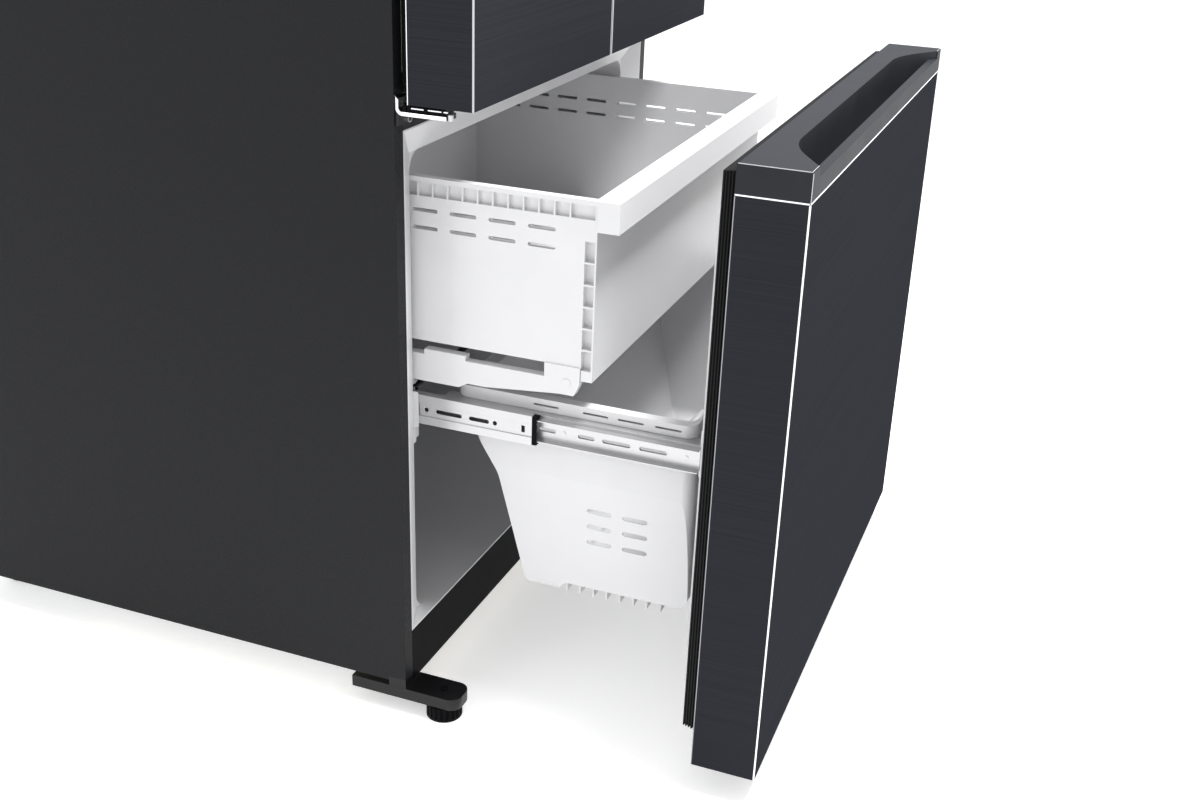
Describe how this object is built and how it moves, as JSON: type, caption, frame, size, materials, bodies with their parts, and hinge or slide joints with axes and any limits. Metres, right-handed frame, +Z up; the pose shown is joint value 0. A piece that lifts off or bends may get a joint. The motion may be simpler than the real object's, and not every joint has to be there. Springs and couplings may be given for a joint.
{
  "type": "bottom freezer refrigerator",
  "caption": "Free-standing bottom freezer refrigerator with two upper doors and a deep freezer drawer, shown pulled out with its inner drawer and lower bin.",
  "frame": {"origin": "on the floor under the middle of the refrigerator with its freezer drawer pulled fully out", "axes": "+Z up, front towards -Y, +X to the right as seen from the front"},
  "size_m": [0.82, 1.1635, 1.776],
  "materials": {
    "side_paint": "textured charcoal coating",
    "door_steel": "dark brushed, fingerprint-resistant coating",
    "dark_plastic": "satin charcoal",
    "seal": "matte black",
    "white_liner": "satin white",
    "white_plastic": "satin white",
    "clear_plastic": "clear, lightly frosted",
    "shelf_glass": "clear tempered",
    "slide_steel": "satin zinc",
    "hinge_steel": "bright zinc",
    "black_steel": "semi-matte black",
    "black_plastic": "matte black",
    "galvanised": "dull galvanised",
    "foam": "pale yellow rigid foam",
    "bare_aluminium": "plain",
    "screw_steel": "bright zinc",
    "lamp": "frosted white"
  },
  "bodies": {
    "cabinet": {"left_side_panel": "side_paint", "right_side_panel": "side_paint", "top_panel": "side_paint", "back_panel": "galvanised", "machine_cover": "galvanised", "base_pan": "galvanised", "toe_panel": "black_plastic", "divider_rail": "black_steel", "insulation": "foam", "freezer_liner": "white_liner", "fresh_food_liner": "white_liner", "leg_brackets": "black_steel", "middle_hinges": "hinge_steel", "top_hinges": "hinge_steel", "hinge_covers": "dark_plastic", "cabinet_screws": "screw_steel", "outer_slides": "slide_steel", "slide_clips": "white_plastic", "side_rails": "white_plastic", "shelf_frames": "white_plastic", "shelf_glass": "shelf_glass", "air_duct_panel": "white_liner", "interior_light": "lamp", "evaporator_cover": "white_liner", "evaporator": "bare_aluminium", "fan_motors": "black_plastic", "compressor": "black_steel", "condenser": "black_steel", "drain_tray": "black_plastic"},
    "freezer_drawer": {"freezer_door_skin": "door_steel", "freezer_door_caps": "dark_plastic", "freezer_door_liner": "white_liner", "freezer_door_gasket": "seal", "drawer_arms": "slide_steel", "inner_slides": "slide_steel", "lower_bin": "white_plastic"},
    "slide_members": {"middle_slides": "slide_steel", "slide_stops": "black_plastic"},
    "upper_freezer_drawer": {"upper_drawer": "white_plastic", "upper_drawer_runners": "white_plastic"},
    "stabiliser": {"sync_shaft": "black_plastic"},
    "left_door": {"left_door_skin": "door_steel", "left_door_caps": "dark_plastic", "left_door_liner": "white_liner", "left_door_gasket": "seal", "left_door_bins": "clear_plastic"},
    "right_door": {"right_door_skin": "door_steel", "right_door_caps": "dark_plastic", "right_door_liner": "white_liner", "right_door_gasket": "seal", "right_door_bins": "clear_plastic"},
    "mullion": {"mullion_bar": "dark_plastic"},
    "left_crisper_box": {"left_crisper": "clear_plastic"},
    "right_crisper_box": {"right_crisper": "clear_plastic"},
    "left_levelling_foot": {"left_foot": "black_plastic"},
    "right_levelling_foot": {"right_foot": "black_plastic"},
    "left_rear_roller": {"left_roller": "black_plastic"},
    "right_rear_roller": {"right_roller": "black_plastic"},
    "condenser_fan_wheel": {"condenser_fan": "black_plastic"},
    "evaporator_fan_wheel": {"evaporator_fan": "black_plastic"}
  },
  "joints": [
    {"name": "freezer_drawer_slide", "type": "slide", "parent": "cabinet", "child": "freezer_drawer", "axis": [0, -1, 0], "range_m": [-0.364, 0]},
    {"name": "middle_slide_members", "type": "slide", "parent": "cabinet", "child": "slide_members", "axis": [0, -1, 0], "range_m": [-0.182, 0]},
    {"name": "upper_drawer_slide", "type": "slide", "parent": "cabinet", "child": "upper_freezer_drawer", "axis": [0, -1, 0], "range_m": [-0.2639, 0]},
    {"name": "stabiliser_turn", "type": "hinge", "parent": "freezer_drawer", "child": "stabiliser", "pos_m": [0, -0.0925, 0.4155], "axis": [-1, 0, 0], "range_deg": [-2317.4, 0]},
    {"name": "left_door_hinge", "type": "hinge", "parent": "cabinet", "child": "left_door", "pos_m": [-0.393, -0.1765, 1.2], "axis": [0, 0, -1], "range_deg": [0, 130]},
    {"name": "right_door_hinge", "type": "hinge", "parent": "cabinet", "child": "right_door", "pos_m": [0.393, -0.1765, 1.2], "axis": [0, 0, 1], "range_deg": [0, 130]},
    {"name": "mullion_fold", "type": "hinge", "parent": "left_door", "child": "mullion", "pos_m": [-0.022, -0.1159, 1.26], "axis": [0, 0, 1], "range_deg": [-90, 0]},
    {"name": "left_crisper_slide", "type": "slide", "parent": "cabinet", "child": "left_crisper_box", "axis": [0, -1, 0], "range_m": [0, 0.25]},
    {"name": "right_crisper_slide", "type": "slide", "parent": "cabinet", "child": "right_crisper_box", "axis": [0, -1, 0], "range_m": [0, 0.25]},
    {"name": "left_foot_screw", "type": "hinge", "parent": "cabinet", "child": "left_levelling_foot", "pos_m": [-0.387, -0.1665, 0.03], "axis": [0, 0, 1], "continuous": true},
    {"name": "right_foot_screw", "type": "hinge", "parent": "cabinet", "child": "right_levelling_foot", "pos_m": [0.387, -0.1665, 0.03], "axis": [0, 0, 1], "continuous": true},
    {"name": "left_roller_turn", "type": "hinge", "parent": "cabinet", "child": "left_rear_roller", "pos_m": [-0.345, 0.5495, 0.017], "axis": [1, 0, 0], "continuous": true},
    {"name": "right_roller_turn", "type": "hinge", "parent": "cabinet", "child": "right_rear_roller", "pos_m": [0.345, 0.5495, 0.017], "axis": [1, 0, 0], "continuous": true},
    {"name": "condenser_fan_spin", "type": "hinge", "parent": "cabinet", "child": "condenser_fan_wheel", "pos_m": [-0.06, 0.4855, 0.15], "axis": [1, 0, 0], "continuous": true},
    {"name": "evaporator_fan_spin", "type": "hinge", "parent": "cabinet", "child": "evaporator_fan_wheel", "pos_m": [0, 0.4595, 0.625], "axis": [0, 1, 0], "continuous": true}
  ],
  "couplings": [
    {"joint": "middle_slide_members", "follows": "freezer_drawer_slide", "ratio": 0.5},
    {"joint": "upper_drawer_slide", "follows": "freezer_drawer_slide", "ratio": 0.725},
    {"joint": "stabiliser_turn", "follows": "freezer_drawer_slide", "rad_per_m": 111.11},
    {"joint": "left_crisper_slide", "follows": "left_door_hinge", "m_per_rad": 0.1101},
    {"joint": "right_crisper_slide", "follows": "right_door_hinge", "m_per_rad": 0.1101}
  ]
}
